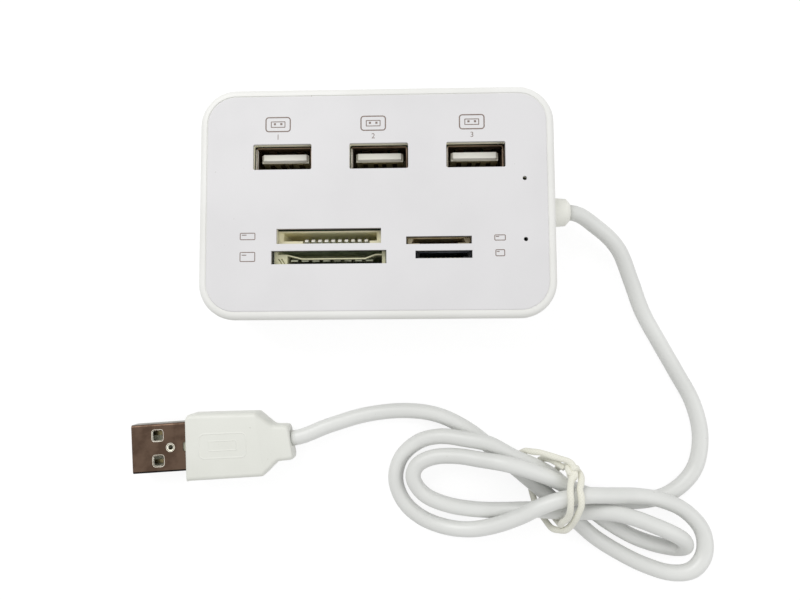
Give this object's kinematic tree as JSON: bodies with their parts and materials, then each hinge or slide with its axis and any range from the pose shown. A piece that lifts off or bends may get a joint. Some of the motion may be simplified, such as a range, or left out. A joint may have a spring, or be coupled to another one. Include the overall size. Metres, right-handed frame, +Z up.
{
  "type": "usb hub card reader combo",
  "caption": "Flat desk hub with upright type A sockets and card slots in its face, and a tied captive lead ending in a type A plug.",
  "frame": {"origin": "centre of the housing's flat base, on the surface it stands on", "axes": "+X along the housing's length towards the wall the lead leaves, +Y across the face towards the socket row's edge, +Z up through the face"},
  "size_m": [0.1435, 0.1169, 0.02],
  "materials": {
    "housing": "off-white moulding with a fine satin grain",
    "face": "light neutral grey moulding, smooth satin",
    "overmould": "soft off-white flexible moulding",
    "cable": "cool grey-white flexible jacket, slightly glossy",
    "elastic": "off-white braided elastic",
    "shell": "plated steel sheet",
    "contact": "gold-plated spring strip",
    "insulator": "white moulded insulator",
    "card_insulator": "yellowed cream moulded insulator",
    "tan_insulator": "tan moulded insulator",
    "tinned": "tinned spring strip",
    "card_sheet": "dull plated sheet",
    "tan_sheet": "tarnished plated sheet",
    "dark_sheet": "blackened sheet",
    "dark_insulator": "black moulded insulator",
    "board": "green lacquered circuit board",
    "chip": "black moulded chip",
    "can": "drawn metal can",
    "capacitor": "sleeved aluminium can",
    "lamp": "translucent lamp body",
    "screw": "plated steel"
  },
  "bodies": {
    "root": {"bottom_shell": "housing", "top_cover": "face", "main_board": "board", "usb_shell_1": "shell", "usb_shell_2": "shell", "usb_shell_3": "shell", "usb_tongue_1": "insulator", "usb_tongue_2": "insulator", "usb_tongue_3": "insulator", "usb_contacts_1": "contact", "usb_contacts_2": "contact", "usb_contacts_3": "contact", "stick_socket": "card_insulator", "stick_contacts": "tinned", "stick_cover": "card_sheet", "card_socket": "card_insulator", "card_contacts": "tinned", "card_cover": "card_sheet", "micro_stick_socket": "tan_insulator", "micro_stick_contacts": "contact", "micro_stick_cover": "tan_sheet", "micro_card_socket": "dark_insulator", "micro_card_contacts": "contact", "micro_card_cover": "dark_sheet", "hub_chip": "chip", "reader_chip": "chip", "crystal": "can", "capacitors": "capacitor", "led_1": "lamp", "led_2": "lamp", "housing_screws": "screw", "strain_relief": "overmould", "cable": "cable", "cord_tie": "elastic", "plug_overmould": "overmould", "plug_shell": "shell", "plug_insulator": "insulator", "plug_contacts": "contact"}
  },
  "joints": []
}
